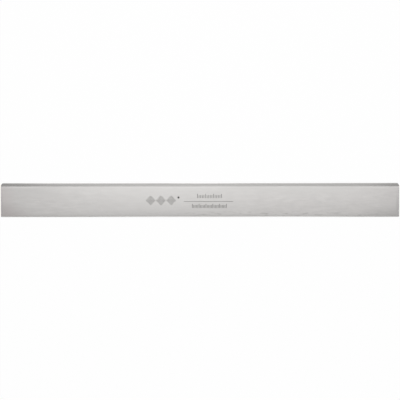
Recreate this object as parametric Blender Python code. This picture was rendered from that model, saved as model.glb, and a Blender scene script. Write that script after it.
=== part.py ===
# Planer knife: a flat bar of tool steel, ground to one bevel along a long edge.
# It lies on its back face, as it would on a bench. X runs along the knife, Y runs across it
# from the spine to the cutting edge, and Z runs up through the thickness. The origin is the
# middle of the back face. Lengths are in metres and angles in degrees.

from math import cos, radians, sin

import bmesh
import bpy
from mathutils import Matrix, Vector

# Driving dimensions of the bar
KNIFE_LENGTH = 0.410  # end to end
KNIFE_WIDTH = 0.035  # spine to cutting edge
KNIFE_THICKNESS = 0.003  # back face to front face

# Driving dimensions of the grinding
BEVEL_ANGLE = 42.0  # between the back face and the bevel
TIP_CLIP_LENGTH = 0.0014  # what the clip at each tip takes off the cutting edge
TIP_CLIP_WIDTH = 0.0022  # what the same clip takes off the end of the bar
FRONT_BREAK = 0.0008  # chamfer round the front face
BACK_BREAK = 0.0003  # chamfer round the back face
FACE_CORNER_RADIUS = 0.0004  # corner of the front face at the spine, inside its chamfer
CORNER_FACETS = 4  # flats that make up each rounded corner

ROUND_PROFILE = 0.5  # a bevel's profile that follows a circle
ON_PLANE = 0.000001  # a corner this close to a grinding plane lies on it
SHARP_ANGLE = 30.0  # past it, two faces meet at a crisp edge

# Bare ground steel
STEEL_COLOR = (0.62, 0.61, 0.60, 1.0)
STEEL_ROUGHNESS = 0.34
STEEL_METALLIC = 1.0

# The way each surface of the knife faces
FRONT = Vector((0, 0, 1))
BACK = Vector((0, 0, -1))
SPINE = Vector((0, -1, 0))
ENDS = (Vector((-1, 0, 0)), Vector((1, 0, 0)))
BEVEL = Vector((0, sin(radians(BEVEL_ANGLE)), cos(radians(BEVEL_ANGLE))))


def clear_scene():
    for thing in list(bpy.data.objects):
        bpy.data.objects.remove(thing, do_unlink=True)


def bar_stock():
    """The squared bar before its edges are ground, lying on its back face."""
    bar = bmesh.new()
    size = Matrix.Diagonal((KNIFE_LENGTH, KNIFE_WIDTH, KNIFE_THICKNESS, 1))
    lift = Matrix.Translation((0, 0, KNIFE_THICKNESS / 2))
    bmesh.ops.create_cube(bar, size=1, matrix=lift @ size)
    return bar


def grind_flat(bar, point, outward):
    """Take off all that stands outside a plane, and close the cut with one flat face."""
    solid = bar.verts[:] + bar.edges[:] + bar.faces[:]
    cut = bmesh.ops.bisect_plane(
        bar, geom=solid, dist=ON_PLANE, plane_co=point, plane_no=outward, clear_outer=True
    )
    rim = [piece for piece in cut["geom_cut"] if isinstance(piece, bmesh.types.BMEdge)]
    bmesh.ops.edgeloop_fill(bar, edges=rim)
    bmesh.ops.recalc_face_normals(bar, faces=bar.faces)


def grind_bevel(bar):
    """The bevel rises from the cutting edge, which is on the back face, to the front face."""
    cutting_edge = Vector((0, KNIFE_WIDTH / 2, 0))
    grind_flat(bar, cutting_edge, BEVEL)


def clip_tips(bar):
    """Both tips of the cutting edge lose their corner, square to the faces."""
    for end in ENDS:
        on_end = end * KNIFE_LENGTH / 2 - SPINE * (KNIFE_WIDTH / 2 - TIP_CLIP_WIDTH)
        outward = end * TIP_CLIP_WIDTH - SPINE * TIP_CLIP_LENGTH
        grind_flat(bar, on_end, outward.normalized())


def surface(bar, outward):
    """The face of the knife that looks most nearly one way."""
    bar.normal_update()
    return max(bar.faces, key=lambda face: face.normal.dot(outward))


def ease(bar, edges, width, facets):
    """Chamfer edges with one facet, or round them with more."""
    bmesh.ops.bevel(
        bar,
        geom=edges,
        offset=width,
        offset_type="OFFSET",
        segments=facets,
        profile=ROUND_PROFILE,
        affect="EDGES",
    )


def round_spine_corners(bar):
    """The spine meets both ends in a round corner that leaves room for the front chamfer."""
    spine = surface(bar, SPINE)
    ends = [surface(bar, end) for end in ENDS]
    corners = [edge for edge in spine.edges for end in ends if end in edge.link_faces]
    ease(bar, corners, FRONT_BREAK + FACE_CORNER_RADIUS, CORNER_FACETS)


def break_rim(bar, outward, width):
    """Chamfer a face all round, apart from its edge with the bevel, which stays keen."""
    bevel = surface(bar, BEVEL)
    rim = [edge for edge in surface(bar, outward).edges if bevel not in edge.link_faces]
    ease(bar, rim, width, 1)


def ground_steel():
    steel = bpy.data.materials.new("ground_steel")
    steel.use_nodes = True
    shader = steel.node_tree.nodes["Principled BSDF"]
    shader.inputs["Base Color"].default_value = STEEL_COLOR
    shader.inputs["Roughness"].default_value = STEEL_ROUGHNESS
    shader.inputs["Metallic"].default_value = STEEL_METALLIC
    return steel


def planer_knife(collection):
    bar = bar_stock()
    grind_bevel(bar)
    clip_tips(bar)
    round_spine_corners(bar)
    break_rim(bar, FRONT, FRONT_BREAK)
    break_rim(bar, BACK, BACK_BREAK)
    mesh = bpy.data.meshes.new("planer_knife")
    bar.to_mesh(mesh)
    bar.free()
    mesh.shade_smooth()
    mesh.set_sharp_from_angle(angle=radians(SHARP_ANGLE))
    mesh.materials.append(ground_steel())
    collection.objects.link(bpy.data.objects.new("planer_knife", mesh))


def build():
    clear_scene()
    parts = bpy.data.collections.new("Planer knife")
    bpy.context.scene.collection.children.link(parts)
    planer_knife(parts)


build()
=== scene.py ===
from math import atan2, cos, pi, radians, sin, tan

import bmesh
import bpy
import numpy as np
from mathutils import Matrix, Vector


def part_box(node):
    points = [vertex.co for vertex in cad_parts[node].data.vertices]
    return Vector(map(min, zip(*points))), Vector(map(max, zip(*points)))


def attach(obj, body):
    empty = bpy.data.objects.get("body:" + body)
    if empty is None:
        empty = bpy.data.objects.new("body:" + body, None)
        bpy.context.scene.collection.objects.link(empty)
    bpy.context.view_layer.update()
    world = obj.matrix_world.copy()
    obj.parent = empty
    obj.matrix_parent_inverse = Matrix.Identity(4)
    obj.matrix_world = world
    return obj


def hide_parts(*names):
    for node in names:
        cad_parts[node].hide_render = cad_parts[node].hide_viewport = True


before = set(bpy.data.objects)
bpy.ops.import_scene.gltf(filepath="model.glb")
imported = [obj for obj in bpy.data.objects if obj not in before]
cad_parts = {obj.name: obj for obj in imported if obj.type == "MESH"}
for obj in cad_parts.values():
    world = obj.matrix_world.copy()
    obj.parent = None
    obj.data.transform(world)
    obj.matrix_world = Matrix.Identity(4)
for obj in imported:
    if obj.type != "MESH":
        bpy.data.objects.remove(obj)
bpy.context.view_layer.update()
knifeLow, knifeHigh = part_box("planer_knife")
knifeLength, knifeWidth, knifeThickness = knifeHigh - knifeLow

weldGap = 0.000001  # points closer than this are one point
far = 9.0  # past every end of the blade, so that a soft patch with this reach is a band
white = (1.0, 1.0, 1.0)


# Mesh helpers


def readNumbers(items, name, kind, width=1):
    # One property of many mesh items as an array, with a row for each item where it has several numbers.
    found = np.empty(len(items) * width, kind)
    items.foreach_get(name, found)
    return found.reshape(-1, width) if width > 1 else found


def newPiece(name, points, faces, materials):
    # An object at the origin, with its place in its points. Points that coincide are merged, and faces
    # that this leaves with no area go.
    mesh = bpy.data.meshes.new(name)
    mesh.from_pydata(points, [], faces)
    merged = bmesh.new()
    merged.from_mesh(mesh)
    bmesh.ops.remove_doubles(merged, verts=merged.verts, dist=weldGap)
    merged.to_mesh(mesh)
    merged.free()
    for material in materials:
        mesh.materials.append(material)
    piece = bpy.data.objects.new(name, mesh)
    bpy.context.scene.collection.objects.link(piece)
    return piece


def unit(vectors):
    # The same directions with a length of 1: each vector over its own length.
    return vectors / np.linalg.norm(vectors, axis=-1, keepdims=True)


def easeKinks(path, reach, steps):
    # A path whose inner corners are eased: each gives way to the parabola that leaves one side and
    # joins the next this far from the corner, (1-s)^2 before + 2s(1-s) corner + s^2 after, s in 0 to 1.
    corner = path[1:-1]
    before = corner + reach * unit(path[:-2] - corner)
    after = corner + reach * unit(path[2:] - corner)
    s = np.linspace(0, 1, steps + 1)[None, :, None]
    curve = (1 - s) ** 2 * before[:, None] + 2 * s * (1 - s) * corner[:, None] + s**2 * after[:, None]
    return curve.reshape(-1, path.shape[1])


# Shader helpers


def rgba(color):
    # A colour as a shader's socket takes it, solid.
    return (*color, 1.0)


def addNode(tree, kind, inputs=None, **settings):
    # A node with its settings; an input is a plain value, or another node's output to link from.
    node = tree.nodes.new("ShaderNode" + kind)
    for name, value in settings.items():
        setattr(node, name, value)
    for key, value in (inputs or {}).items():
        if isinstance(value, bpy.types.NodeSocket):
            tree.links.new(value, node.inputs[key])
        else:
            node.inputs[key].default_value = value
    return node


def newMaterial(name):
    material = bpy.data.materials.new(name)
    material.use_nodes = True
    return material, material.node_tree


def maths(tree, operation, *values):
    return addNode(tree, "Math", dict(enumerate(values)), operation=operation).outputs[0]


def vectorMaths(tree, operation, first, second):
    return addNode(tree, "VectorMath", {0: first, 1: second}, operation=operation).outputs[0]


def spread(tree, value, fromRange, toRange=(0.0, 1.0)):
    # A value moved from one range to another, and held inside it.
    inputs = {"Value": value, "From Min": fromRange[0], "From Max": fromRange[1]}
    inputs |= {"To Min": toRange[0], "To Max": toRange[1]}
    return addNode(tree, "MapRange", inputs).outputs["Result"]


def noise(tree, place, look):
    # Soft noise, which changes faster along an axis with a larger stretch.
    stretched = vectorMaths(tree, "MULTIPLY", place, look["stretch"])
    inputs = {"Vector": stretched, "Scale": 1.0, "Detail": look["detail"], "Roughness": look["roughness"]}
    return addNode(tree, "TexNoise", inputs).outputs["Fac"]


def blend(tree, share, first, second):
    # The first colour where the share is 0 and the second where it is 1.
    return addNode(tree, "Mix", {0: share, 6: first, 7: second}, data_type="RGBA").outputs[2]


def weigh(tree, *parts):
    # The sum of some values, each times its weight.
    total = 0.0
    for value, weight in parts:
        total = maths(tree, "MULTIPLY_ADD", value, weight, total)
    return total


def newGroup(name, inputs, outputs):
    # A shader group with named sockets; an input is given as name: (kind, value).
    tree = bpy.data.node_groups.new(name, "ShaderNodeTree")
    for socketName, (kind, value) in inputs.items():
        socket = tree.interface.new_socket(socketName, in_out="INPUT", socket_type="NodeSocket" + kind)
        if value is not None:
            socket.default_value = value
    for socketName in outputs:
        tree.interface.new_socket(socketName, in_out="OUTPUT", socket_type="NodeSocketFloat")
    return tree, tree.nodes.new("NodeGroupInput").outputs, tree.nodes.new("NodeGroupOutput").inputs


def useGroup(tree, group, inputs):
    return addNode(tree, "Group", inputs, node_tree=group).outputs


# The texture of ground steel: grinding lines and clouds, and soft patches that place painted light and shade
# and scuffs, in groups that all finishes share
grindPattern = {
    "fine": {"stretch": (1.0, 1.0, 1.0), "detail": 3.0, "roughness": 0.6},
    "coarse": {"stretch": (0.5, 0.3, 0.3), "detail": 1.0, "roughness": 0.5},
    "scores": {"stretch": (0.4, 0.7, 0.7), "detail": 0.0, "roughness": 0.5},
    "streaks": {"stretch": (1.3, 0.32, 0.32), "detail": 1.0, "roughness": 0.5},
    "lineRange": (0.7, 1.3),  # of fine and coarse noise together
    "scoreRange": (0.68, 0.78),  # only the peaks of the noise are scores
    "streakRange": (0.60, 0.74),  # only the peaks are streaks
}
cloudPattern = {
    "clouds": {"stretch": (1.0, 1.0, 1.0), "detail": 2.0, "roughness": 0.5},
    "warmth": {"stretch": (0.45, 0.45, 0.45), "detail": 1.0, "roughness": 0.5},
    "cloudRange": (0.3, 0.7),
    "warmthRange": (0.35, 0.65),
    "warmthShift": (23.0, 10.0, 3.0),  # away from the clouds, so that the two don't match
    "patchSize": (0.03, 0.03, 0.03),  # where nothing else is given
}


def grindLinesGroup(pattern):
    # Grinding lines: noise drawn out along X, fine and coarse, with a few deeper scores and pale streaks.
    inputs = {"Place": ("Vector", None), "Line Spacing": ("Float", None), "Line Length": ("Float", None)}
    tree, given, made = newGroup("grindLines", inputs, ("Lines", "Scores", "Streaks"))
    across = maths(tree, "DIVIDE", 1.0, given["Line Spacing"])
    along = maths(tree, "DIVIDE", 1.0, given["Line Length"])
    scale = addNode(tree, "CombineXYZ", {0: along, 1: across, 2: across}).outputs[0]
    drawn = vectorMaths(tree, "MULTIPLY", given["Place"], scale)
    both = maths(tree, "ADD", noise(tree, drawn, pattern["fine"]), noise(tree, drawn, pattern["coarse"]))
    tree.links.new(spread(tree, both, pattern["lineRange"]), made["Lines"])
    scores = noise(tree, drawn, pattern["scores"])
    tree.links.new(spread(tree, scores, pattern["scoreRange"]), made["Scores"])
    streaks = noise(tree, drawn, pattern["streaks"])
    tree.links.new(spread(tree, streaks, pattern["streakRange"]), made["Streaks"])
    return tree


def steelCloudsGroup(pattern):
    # The unevenness of bare steel: soft clouds of tone of any proportions, and a slower drift in warmth.
    inputs = {"Place": ("Vector", None), "Patch Size": ("Vector", pattern["patchSize"])}
    tree, given, made = newGroup("steelClouds", inputs, ("Cloud", "Warmth"))
    drawn = vectorMaths(tree, "DIVIDE", given["Place"], given["Patch Size"])
    clouds = noise(tree, drawn, pattern["clouds"])
    tree.links.new(spread(tree, clouds, pattern["cloudRange"]), made["Cloud"])
    warmth = noise(tree, vectorMaths(tree, "ADD", drawn, pattern["warmthShift"]), pattern["warmth"])
    tree.links.new(spread(tree, warmth, pattern["warmthRange"]), made["Warmth"])
    return tree


def softPatchGroup():
    # A soft patch: 1 less the length of (place - centre) / reach, axis by axis, and 0 where that is less.
    inputs = {"Place": ("Vector", None), "Centre": ("Vector", None), "Reach": ("Vector", None)}
    tree, given, made = newGroup("softPatch", inputs, ("Share",))
    off = vectorMaths(tree, "SUBTRACT", given["Place"], given["Centre"])
    scaled = vectorMaths(tree, "DIVIDE", off, given["Reach"])
    distance = addNode(tree, "VectorMath", {0: scaled}, operation="LENGTH").outputs["Value"]
    tree.links.new(spread(tree, distance, (0.0, 1.0), (1.0, 0.0)), made["Share"])
    return tree


grindLines = grindLinesGroup(grindPattern)
steelClouds = steelCloudsGroup(cloudPattern)
softPatch = softPatchGroup()
print("shader groups ready")


# The blade's steel. Each surface has its own grinding and tone, and soft patches of painted light and shade,
# where a later patch lies over an earlier one.
steelMix = {
    "lines": 0.2,  # weights of lines, clouds and rubs in how pale the steel is
    "clouds": 0.2,
    "rubs": 0.6,
    "scuffRange": (0.6, 0.95),  # from where a cloud starts to show as a scuff to where it is all scuff
    "scoreRoughness": 0.3,  # what a score adds to the roughness of the lines
    "lineDepth": 0.000004,  # of the lines and scores in the shading
}
groundFace = {
    "color": (0.539, 0.529, 0.519),
    "paleColor": (0.614, 0.602, 0.590),
    "warmColor": (0.577, 0.553, 0.546),
    "warmShare": 0.35,
    "roughness": (0.33, 0.40),
    "lineSpacing": 0.0007,
    "lineLength": 0.030,
    "rubSize": (0.011, 0.0028, 0.0028),
    "rubContrast": 0.016,
    "relief": 0.5,
    "paintedLightPatches": [
        # a painted highlight over the middle, and painted shade over the upper left and lower middle, which
        # are duller
        {"centre": (-0.040, 0.0040, 0.0), "reach": (0.110, 0.0450, far), "color": (0.604, 0.593, 0.582)},
        {"centre": (-0.165, 0.0090, 0.0), "reach": (0.060, 0.0130, far), "color": (0.541, 0.531, 0.521)},
        {"centre": (-0.040, -0.0150, 0.0), "reach": (0.100, 0.0060, far), "color": (0.560, 0.550, 0.540)},
        # a painted highlight as a bright line below the heel, and painted shade in dull lines along the heel
        # and along the spine
        {"centre": (0.0, 0.0132, 0.0), "reach": (far, 0.0012, far), "color": (0.612, 0.601, 0.589)},
        {"centre": (0.0, 0.0142, 0.0), "reach": (far, 0.0009, far), "color": (0.535, 0.525, 0.515)},
        {"centre": (-0.153, 0.0136, 0.0), "reach": (0.030, 0.0016, far), "color": (0.520, 0.510, 0.500)},
        {"centre": (0.0, -0.0167, 0.0), "reach": (far, 0.0030, far), "color": (0.509, 0.499, 0.490)},
        # the left end, warmer in tone and darker by painted shade, and painted shade over both lower corners
        # and the upper right
        {"centre": (-0.2055, 0.0010, 0.0), "reach": (0.018, 0.0240, far), "color": (0.552, 0.520, 0.515)},
        {"centre": (-0.205, -0.0175, 0.0), "reach": (0.035, 0.0160, far), "color": (0.476, 0.443, 0.439)},
        {"centre": (0.205, -0.0175, 0.0), "reach": (0.050, 0.0120, far), "color": (0.470, 0.461, 0.453)},
        {"centre": (0.105, 0.0125, 0.0), "reach": (0.100, 0.0115, far), "color": (0.556, 0.546, 0.535)},
        # painted shade in dark bands just inside the ends
        {"centre": (-0.2034, -0.0070, 0.0), "reach": (0.0019, 0.020, far), "color": (0.497, 0.484, 0.477)},
        {"centre": (0.2030, -0.0070, 0.0), "reach": (0.0019, 0.018, far), "color": (0.485, 0.475, 0.467)},
    ],
    "scuffs": [
        {  # dark, near the spine
            "size": (0.008, 0.0016, 0.0016),
            "centre": (0.090, -0.0148, 0.0),
            "reach": (0.170, 0.0040, far),
            "color": (0.400, 0.392, 0.385),
        },
        {  # faint, on the right half
            "size": (0.010, 0.0042, 0.0042),
            "centre": (0.125, -0.0010, 0.0),
            "reach": (0.100, 0.0160, far),
            "color": (0.545, 0.535, 0.526),
        },
    ],
}
groundBevel = {
    "color": (0.389, 0.382, 0.374),
    "paleColor": (0.420, 0.413, 0.404),
    "warmColor": (0.396, 0.385, 0.377),
    "warmShare": 0.3,
    "roughness": (0.28, 0.34),
    "lineSpacing": 0.0005,
    "lineLength": 0.045,
    "rubSize": (0.020, 0.0015, 0.0015),
    "rubContrast": 0.03,
    "relief": 0.4,
    "paintedLightPatches": [
        # a painted highlight along the cutting edge, brighter on the left and in the middle, duller on the
        # right
        {"centre": (0.0, 0.0175, 0.0), "reach": (far, 0.0011, far), "color": (0.640, 0.632, 0.620)},
        {"centre": (-0.205, 0.0175, 0.0), "reach": (0.160, 0.0012, far), "color": (0.760, 0.750, 0.736)},
        {"centre": (0.002, 0.0175, 0.0), "reach": (0.050, 0.0012, far), "color": (0.710, 0.701, 0.688)},
        {"centre": (0.155, 0.0175, 0.0), "reach": (0.050, 0.0012, far), "color": (0.450, 0.443, 0.434)},
        # painted highlights in pale bands near the heel
        {"centre": (0.040, 0.0149, 0.0), "reach": (0.190, 0.0011, far), "color": (0.450, 0.442, 0.433)},
        {"centre": (-0.205, 0.0149, 0.0), "reach": (0.024, 0.0011, far), "color": (0.498, 0.489, 0.479)},
    ],
    "scuffs": [],
}
spineEdge = {
    "color": (0.560, 0.550, 0.540),
    "paleColor": (0.610, 0.600, 0.588),
    "warmColor": (0.560, 0.545, 0.536),
    "warmShare": 0.3,
    "roughness": (0.30, 0.38),
    "lineSpacing": 0.0006,
    "lineLength": 0.015,
    "rubSize": (0.012, 0.0010, 0.0010),
    "rubContrast": 0.03,
    "relief": 0.5,
    "paintedLightPatches": [
        # a painted highlight on the chamfer, with painted shade making it duller in the middle
        {"centre": (0.0, 0.0, 0.0030), "reach": (far, far, 0.0016), "color": (0.700, 0.690, 0.680)},
        {"centre": (0.013, 0.0, 0.0030), "reach": (0.050, far, 0.0016), "color": (0.580, 0.571, 0.563)},
    ],
    "scuffs": [],
}
endEdge = {
    "color": (0.540, 0.529, 0.520),
    "paleColor": (0.582, 0.571, 0.561),
    "warmColor": (0.550, 0.527, 0.520),
    "warmShare": 0.3,
    "roughness": (0.30, 0.38),
    "lineSpacing": 0.0006,
    "lineLength": 0.006,
    "rubSize": (0.0020, 0.0030, 0.0010),
    "rubContrast": 0.03,
    "relief": 0.5,
    "paintedLightPatches": [],
    "scuffs": [],
}


def patchShare(tree, place, patch):
    # How much of a patch or a scuff shows at each place.
    where = {"Place": place, "Centre": patch["centre"], "Reach": patch["reach"]}
    return useGroup(tree, softPatch, where)["Share"]


def steelMaterial(name, finish):
    # Bare steel: two tones by lines, clouds and rubs, then warmth, patches of painted light and shade,
    # scuffs and a last light rub that leaves the mean tone as it is.
    material, tree = newMaterial(name)
    shader = tree.nodes["Principled BSDF"]
    place = addNode(tree, "TexCoord").outputs["Object"]
    sizes = {"Line Spacing": finish["lineSpacing"], "Line Length": finish["lineLength"]}
    grind = useGroup(tree, grindLines, {"Place": place, **sizes})
    clouds = useGroup(tree, steelClouds, {"Place": place})
    rubs = useGroup(tree, steelClouds, {"Place": place, "Patch Size": finish["rubSize"]})["Cloud"]
    uneven = weigh(
        tree,
        (grind["Lines"], steelMix["lines"]),
        (clouds["Cloud"], steelMix["clouds"]),
        (rubs, steelMix["rubs"]),
    )
    paler = maths(tree, "MAXIMUM", uneven, grind["Streaks"])
    color = blend(tree, paler, rgba(finish["color"]), rgba(finish["paleColor"]))
    warmth = maths(tree, "MULTIPLY", clouds["Warmth"], finish["warmShare"])
    color = blend(tree, warmth, color, rgba(finish["warmColor"]))
    # patches of painted light and shade: painted highlights, and painted shade where the steel is duller
    for patch in finish["paintedLightPatches"]:
        color = blend(tree, patchShare(tree, place, patch), color, rgba(patch["color"]))
    for scuff in finish["scuffs"]:
        marks = useGroup(tree, steelClouds, {"Place": place, "Patch Size": scuff["size"]})["Cloud"]
        shown = spread(tree, marks, steelMix["scuffRange"])
        share = maths(tree, "MULTIPLY", shown, patchShare(tree, place, scuff))
        color = blend(tree, share, color, rgba(scuff["color"]))
    contrast = finish["rubContrast"]
    rubbed = maths(tree, "MULTIPLY_ADD", rubs, contrast, 1 - contrast / 2)
    tree.links.new(vectorMaths(tree, "MULTIPLY", color, rubbed), shader.inputs["Base Color"])
    rough = maths(tree, "MULTIPLY_ADD", grind["Scores"], steelMix["scoreRoughness"], grind["Lines"])
    tree.links.new(spread(tree, rough, (0.0, 1.0), finish["roughness"]), shader.inputs["Roughness"])
    height = maths(tree, "SUBTRACT", grind["Lines"], grind["Scores"])
    relief = {"Strength": finish["relief"], "Distance": steelMix["lineDepth"], "Height": height}
    tree.links.new(addNode(tree, "Bump", relief).outputs["Normal"], shader.inputs["Normal"])
    shader.inputs["Metallic"].default_value = 1.0
    return material


# The blade's shape; its length, width and thickness come from the frame
bladeShape = {
    "bevelAngle": 42.0,  # between the back face and the bevel
    "clipLength": 0.0014,  # corner that each tip has lost, along the cutting edge
    "clipWidth": 0.0022,  # the same corner, along the end
    "frontBreak": 0.0008,  # chamfer round the front face
    "backBreak": 0.0003,  # chamfer round the back face
    "cornerRadius": 0.0012,  # corners at the spine, seen from above
    "cornerSteps": 12,  # facets round each of those corners
    "edgeRadius": 0.00008,  # the last easing of the edges that stand square to the faces
    "edgeReach": 0.00006,  # how far the easing of a chamfer's edges reaches to either side
    "edgeSteps": 3,  # facets of both
    "panels": 24,  # panels along the blade, an even number
    "endPanel": 0.0025,  # length of the last panel at each end, which holds the corners
    "creaseAngle": 30.0,  # past it, two faces meet at a crisp edge
    "flatWeight": 100,  # how strongly the large faces keep their shading flat
    "unwrapGap": 0.0015,  # left between the surfaces that are laid flat
    "unwrapPull": (0.6, 0.6, 0.7, 1.0, 1.0, 1.0),  # of front, back, bevel, spine and both ends on a face
    "unwrapLean": 0.5,  # of a chamfer's depth, counted with its height
}


def bladeSection(shape):
    # The blade's section, from the back face up to the front face: how far the spine and the ends stand
    # back, how high that is, and where the bevel is across the blade. The bevel stands back by the
    # height over the slope, and its heel is eased as the front face's rim is.
    thick, reach = knifeThickness, shape["edgeReach"]
    front, back = shape["frontBreak"], shape["backBreak"]
    section = np.array([(thick, 0), (back, 0), (0, back), (0, thick - front), (front, thick), (thick, thick)])
    inset, height = easeKinks(section, reach, shape["edgeSteps"])[:, :, None].transpose(1, 0, 2)
    slopeAngle = radians(shape["bevelAngle"])
    heelShare = 1 - np.sqrt(np.clip((thick - height) / (reach * sin(slopeAngle)), 0, 1))
    return inset, height, knifeWidth / 2 - height / tan(slopeAngle) - reach * heelShare**2


def bladeRings(shape):
    # The blade as outlines stacked up its thickness, an array of height by place by coordinate. Each
    # runs along the bevel, round the clipped tip by two small arcs, down the end, round the corner, back
    # along the spine and up the other end; an arc is centre + radius (cos a, sin a). Where the clip has
    # run out, both arcs of a tip share a centre and make one corner.
    half, wide = knifeLength / 2, knifeWidth / 2
    inset, height, bevelY = bladeSection(shape)
    edgeRadius, cornerRadius = shape["edgeRadius"], shape["cornerRadius"]
    facing = unit(np.array([shape["clipWidth"], shape["clipLength"]]))
    clipLine = facing[0] * half + facing[1] * (wide - shape["clipWidth"]) - edgeRadius
    clipLine = clipLine - np.where(height < knifeThickness / 2, inset, 0)
    endX, edgeY = half - inset - edgeRadius, bevelY - edgeRadius
    nearX = np.minimum(endX, (clipLine - facing[1] * edgeY) / facing[0])
    nearY = np.minimum(edgeY, (clipLine - facing[0] * endX) / facing[1])
    facingAngle = atan2(facing[1], facing[0])
    first = np.linspace(pi / 2, facingAngle, shape["edgeSteps"] + 1)[None]
    second = np.linspace(facingAngle, 0, shape["edgeSteps"] + 1)[None]
    tipX = np.hstack([nearX + edgeRadius * np.cos(first), endX + edgeRadius * np.cos(second)])
    tipY = np.hstack([edgeY + edgeRadius * np.sin(first), nearY + edgeRadius * np.sin(second)])
    turn = np.linspace(0, pi / 2, shape["cornerSteps"] + 1)[None]
    cornerX = half - cornerRadius + (cornerRadius - inset) * np.cos(turn)
    cornerY = cornerRadius - wide - (cornerRadius - inset) * np.sin(turn)
    along = np.linspace(-1, 1, shape["panels"] + 1)[None] * (half - shape["endPanel"]) + 0 * height
    spineY = inset - wide + 0 * along
    xs = [along, tipX, cornerX, along[:, ::-1], -cornerX[:, ::-1], -tipX[:, ::-1]]
    ys = [bevelY + 0 * along, tipY, cornerY, spineY, cornerY[:, ::-1], tipY[:, ::-1]]
    ringX = np.hstack(xs)
    return np.stack([ringX, np.hstack(ys), height + 0 * ringX], 2)


def bladeFaces(shape, levels, around):
    # Walls from each outline up to the next, then the back and the front, closed panel by panel: from
    # each stretch of the bevel to the stretch of the spine across from it, and one face at each end.
    panels = shape["panels"]
    place = np.arange(around)
    after = (place + 1) % around
    base = np.arange(levels - 1)[:, None] * around
    walls = np.stack([base + place, base + around + place, base + around + after, base + after], 2)
    station = np.arange(panels + 1)
    spine = 2 * panels + 1 + 2 * (shape["edgeSteps"] + 1) + shape["cornerSteps"] + 1 - station
    closing = [*np.stack([station[:-1], station[1:], spine[1:], spine[:-1]], 1)]
    closing += [np.arange(panels, spine[-1] + 1), np.append(np.arange(spine[0], around), 0)]
    top = (levels - 1) * around
    faces = walls.reshape(-1, 4).tolist()
    faces += [side.tolist() for side in closing]
    faces += [(side[::-1] + top).tolist() for side in closing]
    return faces


def layFlat(mesh, shape):
    # The blade's surfaces laid flat at one scale, for the map OFBake. A face goes to the surface whose
    # look it leans to most, and the broad faces pull less, so that chamfers go with the spine and ends.
    # Each surface is a left and a right half, in a row of its own, but the ends share one. Returns each
    # face's surface: 0 front, 1 back, 2 bevel, 3 spine, 4 right end, 5 left end.
    tilt, lean = radians(shape["bevelAngle"]), shape["unwrapLean"]
    c, s = cos(tilt), sin(tilt)
    looks = np.array([(0, 0, 1), (0, 0, -1), (0, s, c), (0, -1, 0), (1, 0, 0), (-1, 0, 0)])
    looks = looks * np.array(shape["unwrapPull"])[:, None]
    axisU = np.array([(1, 0, 0), (1, 0, 0), (1, 0, 0), (1, 0, 0), (0, 1, 0), (0, -1, 0)])
    axisV = np.array([(0, 1, 0), (0, -1, 0), (0, c, -s), (0, lean, 1), (-lean, 0, 1), (lean, 0, 1)])
    normals = readNumbers(mesh.polygons, "normal", np.float32, 3)
    surface = (normals @ looks.T).argmax(1)
    rightHalf = readNumbers(mesh.polygons, "center", np.float32, 3)[:, 0] > 0
    corners = readNumbers(mesh.polygons, "loop_total", np.int32)
    points = readNumbers(mesh.vertices, "co", np.float32, 3)
    points = points[readNumbers(mesh.loops, "vertex_index", np.int32)].astype(float)
    loopSurface = np.repeat(surface, corners)
    loopHalf = np.repeat(rightHalf, corners)
    flat = np.stack([(points * axisU[loopSurface]).sum(1), (points * axisV[loopSurface]).sum(1)], 1)
    gap = shape["unwrapGap"]
    rows = [[(surfaceIndex, half)] for surfaceIndex in range(4) for half in (False, True)]
    rows.append([(4, True), (5, False)])
    width, base = 0, gap
    for row in rows:
        left, rise = gap, 0
        for surfaceIndex, half in row:
            own = (loopSurface == surfaceIndex) & (loopHalf == half)
            low, high = flat[own].min(0), flat[own].max(0)
            flat[own] += (left, base) - low
            left += high[0] - low[0] + gap
            rise = max(rise, high[1] - low[1])
        width = max(width, left)
        base += rise + gap
    layer = mesh.uv_layers.new(name="OFBake")
    layer.uv.foreach_set("vector", (flat / (width, base)).astype(np.float32).ravel())
    return surface


def makeBlade(shape, finishes):
    # The blade with its finishes, its map and its shading, which is smooth up to the crisp edges.
    rings = bladeRings(shape)
    faces = bladeFaces(shape, *rings.shape[:2])
    materials = [steelMaterial(name, finish) for name, finish in finishes.items()]
    blade = newPiece("ground_blade", rings.reshape(-1, 3), faces, materials)
    surface = layFlat(blade.data, shape)
    finishOf = np.array([0, 0, 1, 2, 3, 3], np.int32)  # face, bevel, spine or end, for each surface
    blade.data.polygons.foreach_set("material_index", finishOf[surface])
    blade.data.shade_smooth()
    blade.data.set_sharp_from_angle(angle=radians(shape["creaseAngle"]))
    weighted = blade.modifiers.new("flat_faces_stay_flat", "WEIGHTED_NORMAL")
    weighted.keep_sharp = True
    weighted.weight = shape["flatWeight"]
    return blade


bladeFinishes = {
    "ground_face": groundFace,
    "ground_bevel": groundBevel,
    "spine_edge": spineEdge,
    "end_edge": endEdge,
}
blade = makeBlade(bladeShape, bladeFinishes)
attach(blade, "root")
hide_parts("planer_knife")
print("blade made, faces:", len(blade.data.polygons))


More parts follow.
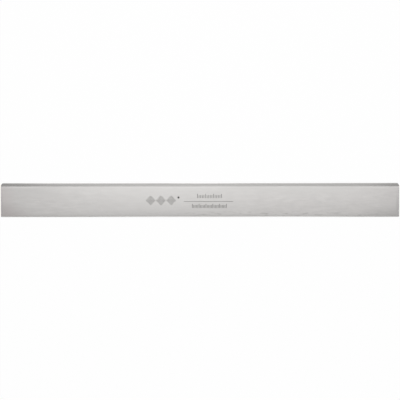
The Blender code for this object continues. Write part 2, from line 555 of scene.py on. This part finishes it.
# The marks etched in the front face: a plain rule, rows of ticks, lozenges of dots and one larger dot
markBody = {
    "proud": 0.00002,  # above the front face
    "sunk": 0.00003,  # into it
    "roundSteps": 5,  # facets round each end of a stroke
}
etchedFinish = {
    "color": (0.120, 0.118, 0.113),
    "paleColor": (0.205, 0.202, 0.194),
    "patchSize": (0.0016, 0.0016, 0.0016),
    "roughness": (0.48, 0.62),
    "metallic": 0.5,
}
blackenedFinish = {
    **etchedFinish,
    "color": (0.045, 0.044, 0.043),
    "paleColor": (0.090, 0.088, 0.085),
}
etchedRule = {"from": (-0.0164, -0.0015), "to": (0.0340, -0.0015), "width": 0.00040}
etchedTicks = {
    "width": 0.00054,
    "longEvery": 5,  # ticks from one long tick to the next
    "shortTick": 0.70,  # height of the ticks between, as a share of a long one
    "rows": (
        {"from": -0.0026, "to": 0.0221, "foot": 0.0022, "height": 0.0038, "ticks": 16},
        {"from": -0.0079, "to": 0.0271, "foot": -0.0080, "height": 0.0038, "ticks": 26},
    ),
}
etchedLozenges = {
    "dot": 0.00128,  # dot width
    "pitch": 0.00185,  # dot spacing
    "across": 4,  # dots along each side of a lozenge
    "centres": ((-0.0508, -0.0004), (-0.0402, -0.0004), (-0.0296, -0.0004)),
}
etchedDot = {"place": (-0.0221, 0.0026), "width": 0.0021}


def etchedMaterial(name, finish):
    # Etched steel: duller and darker than the ground face, and cloudy.
    material, tree = newMaterial(name)
    shader = tree.nodes["Principled BSDF"]
    place = addNode(tree, "TexCoord").outputs["Object"]
    clouds = useGroup(tree, steelClouds, {"Place": place, "Patch Size": finish["patchSize"]})
    color = blend(tree, clouds["Cloud"], rgba(finish["color"]), rgba(finish["paleColor"]))
    tree.links.new(color, shader.inputs["Base Color"])
    rough = spread(tree, clouds["Warmth"], (0.0, 1.0), finish["roughness"])
    tree.links.new(rough, shader.inputs["Roughness"])
    shader.inputs["Metallic"].default_value = finish["metallic"]
    return material


def etch(name, starts, ends, width, material):
    # Strokes etched in the front face. Each is a closed flat-topped body whose outline is half a circle
    # round its end and half a circle round its start: end + r (u cos a + v sin a), then
    # start - r (u cos a + v sin a), with u along the stroke, v across it and a from -90 to 90 degrees.
    # A dot is a stroke without length.
    starts, ends = np.atleast_2d(starts), np.atleast_2d(ends)
    run = ends - starts
    length = np.linalg.norm(run, axis=1, keepdims=True)
    along = np.where(length > 0, run / np.maximum(length, weldGap), (1.0, 0.0))
    across = np.stack([-along[:, 1], along[:, 0]], 1)
    angle = np.linspace(-pi / 2, pi / 2, markBody["roundSteps"] + 1)[None, :, None]
    swing = width / 2 * (along[:, None] * np.cos(angle) + across[:, None] * np.sin(angle))
    outline = np.concatenate([ends[:, None] + swing, starts[:, None] - swing], 1)
    count, around = outline.shape[:2]
    levels = knifeThickness + np.array([-markBody["sunk"], markBody["proud"]])
    points = np.empty((count, 2, around, 3))
    points[..., :2] = outline[:, None]
    points[..., 2] = levels[None, :, None]
    first = np.arange(count)[:, None] * 2 * around
    place = np.arange(around)[None]
    after = (place + 1) % around
    walls = np.stack([first + place, first + after, first + around + after, first + around + place], 2)
    faces = walls.reshape(-1, 4).tolist()
    faces += (first + place[:, ::-1]).tolist() + (first + around + place).tolist()
    mark = newPiece(name, points.reshape(-1, 3), faces, [material])
    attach(mark, "root")


def tickStrokes(ticks):
    # Each row's ticks stand on one line at equal steps, and every few ticks there is a longer one.
    starts, ends = [], []
    for row in ticks["rows"]:
        x = np.linspace(row["from"], row["to"], row["ticks"])
        isLong = np.arange(row["ticks"]) % ticks["longEvery"] == 0
        height = np.where(isLong, 1.0, ticks["shortTick"]) * row["height"]
        starts.append(np.stack([x, np.full_like(x, row["foot"])], 1))
        ends.append(np.stack([x, row["foot"] + height], 1))
    return np.concatenate(starts), np.concatenate(ends)


def lozengeDots(shape):
    # A square grid of dots stood on its corner: centre + pitch (i - j, i + j) / root 2, with i and j
    # counted from the middle of the grid.
    steps = np.arange(shape["across"]) - (shape["across"] - 1) / 2
    i, j = np.meshgrid(steps, steps)
    grid = np.stack([i - j, i + j], 2).reshape(-1, 2) * shape["pitch"] / 2**0.5
    return (np.array(shape["centres"])[:, None] + grid).reshape(-1, 2)


etched = etchedMaterial("etched_steel", etchedFinish)
blackened = etchedMaterial("blackened_steel", blackenedFinish)
dots = lozengeDots(etchedLozenges)
etch("etched_rule", etchedRule["from"], etchedRule["to"], etchedRule["width"], etched)
etch("etched_ticks", *tickStrokes(etchedTicks), etchedTicks["width"], etched)
etch("etched_lozenges", dots, dots, etchedLozenges["dot"], etched)
etch("etched_dot", etchedDot["place"], etchedDot["place"], etchedDot["width"], blackened)
print("marks etched, dots:", len(dots))


# The studio: a white floor, a pale sky, soft boxes out of sight and a camera straight above
floorLook = {
    "size": 6.0,  # along each side
    "drop": 0.0001,  # below the blade
    "shade": (0.82, 0.82, 0.82),
    "glow": 0.98,  # plain white in what the eye sees; the rest keeps the shadow
}
skyLook = {"overhead": 0.52, "horizon": 0.45}
softBoxes = {
    "overheadBox": {  # over the bevel's side, so that the face darkens towards the spine
        "place": (0.0, 0.09, 0.24),
        "aim": (0.0, 0.09, 0.0),
        "size": (0.64, 0.20),
        "power": 0.249,
    },
    "middleBox": {  # a shorter one under it, so that the ends are darker too
        "place": (0.01, 0.09, 0.239),
        "aim": (0.01, 0.09, 0.0),
        "size": (0.46, 0.20),
        "power": 0.116,
    },
    "leftBackBox": {  # this and the next two face the bevel
        "place": (-0.03, 0.30, 0.10),
        "aim": (-0.03, 0.0, 0.0),
        "size": (0.20, 0.06),
        "power": 0.0358,
    },
    "rightBackBox": {
        "place": (0.16, 0.30, 0.10),
        "aim": (0.16, 0.0, 0.0),
        "size": (0.18, 0.06),
        "power": 0.0119,
    },
    "lowBox": {
        "place": (0.009, 0.30, 0.03),
        "aim": (0.009, 0.0, 0.0),
        "size": (0.46, 0.06),
        "power": 0.0858,
    },
    "frontBox": {  # faces the spine and its chamfer
        "place": (0.03, -0.30, 0.05),
        "aim": (0.03, 0.0, 0.0),
        "size": (0.28, 0.10),
        "power": 0.085,
    },
}
cameraLook = {
    "lens": 100.0,  # mm
    "sensor": 36.0,  # mm
    "pixels": 400,  # width of the frame
    "knifePixels": 398.2,  # length of the blade in it
    "roll": -0.04,  # degrees
}


def seenByEye(tree, reflected=True):
    # 1 for camera rays, and for reflections too where they show the same thing.
    path = addNode(tree, "LightPath").outputs
    seen = path["Is Camera Ray"]
    for name in ("Is Glossy Ray", "Is Transmission Ray") if reflected else ():
        seen = maths(tree, "MAXIMUM", seen, path[name])
    return seen


def makeFloor(look):
    half = look["size"] / 2
    corners = [(-half, -half), (half, -half), (half, half), (-half, half)]
    material, tree = newMaterial("studio_floor")
    tree.nodes.clear()
    shade = addNode(tree, "BsdfDiffuse", {"Color": rgba(look["shade"])})
    glow = addNode(tree, "Emission", {"Color": rgba(white), "Strength": 1.0})
    share = maths(tree, "MULTIPLY", seenByEye(tree), look["glow"])
    mixed = addNode(tree, "MixShader", {0: share, 1: shade.outputs[0], 2: glow.outputs[0]})
    addNode(tree, "OutputMaterial", {"Surface": mixed.outputs[0]})
    points = [(x, y, -look["drop"]) for x, y in corners]
    newPiece("studio_floor", points, [(0, 1, 2, 3)], [material])


def makeSky(look):
    # Light that is stronger overhead than at the horizon, behind a backdrop that the camera sees as white.
    world = bpy.data.worlds.new("studio_sky")
    bpy.context.scene.world = world
    world.use_nodes = True
    tree = world.node_tree
    tree.nodes.clear()
    way = addNode(tree, "TexCoord").outputs["Generated"]
    rise = addNode(tree, "SeparateXYZ", {0: way}).outputs["Z"]
    strength = spread(tree, rise, (0.0, 1.0), (look["horizon"], look["overhead"]))
    light = addNode(tree, "Background", {"Color": rgba(white), "Strength": strength})
    backdrop = addNode(tree, "Background", {"Color": rgba(white), "Strength": 1.0})
    seen = seenByEye(tree, reflected=False)
    mixed = addNode(tree, "MixShader", {0: seen, 1: light.outputs[0], 2: backdrop.outputs[0]})
    addNode(tree, "OutputWorld", {"Surface": mixed.outputs[0]})


def makeSoftBox(name, look):
    lamp = bpy.data.lights.new(name, "AREA")
    lamp.shape = "RECTANGLE"
    lamp.size, lamp.size_y = look["size"]
    lamp.energy = look["power"]
    holder = bpy.data.objects.new(name, lamp)
    holder.location = look["place"]
    toAim = Vector(look["aim"]) - Vector(look["place"])
    holder.rotation_euler = toAim.to_track_quat("-Z", "Y").to_euler()
    holder.visible_camera = False
    bpy.context.scene.collection.objects.link(holder)


def makeCamera(look):
    # The blade's length spans its pixels of the frame, halfway up its thickness.
    camera = bpy.data.cameras.new("camera")
    camera.lens = look["lens"]
    camera.sensor_width = look["sensor"]
    viewWidth = knifeLength * look["pixels"] / look["knifePixels"]
    holder = bpy.data.objects.new("camera", camera)
    middle = (knifeLow + knifeHigh) / 2
    holder.location = middle + Vector((0, 0, viewWidth / look["sensor"] * look["lens"]))
    holder.rotation_euler.z = radians(look["roll"])
    bpy.context.scene.collection.objects.link(holder)
    bpy.context.scene.camera = holder


makeFloor(floorLook)
makeSky(skyLook)
for boxName, boxLook in softBoxes.items():
    makeSoftBox(boxName, boxLook)
makeCamera(cameraLook)
bpy.context.scene.view_settings.view_transform = "Standard"
print("studio ready")
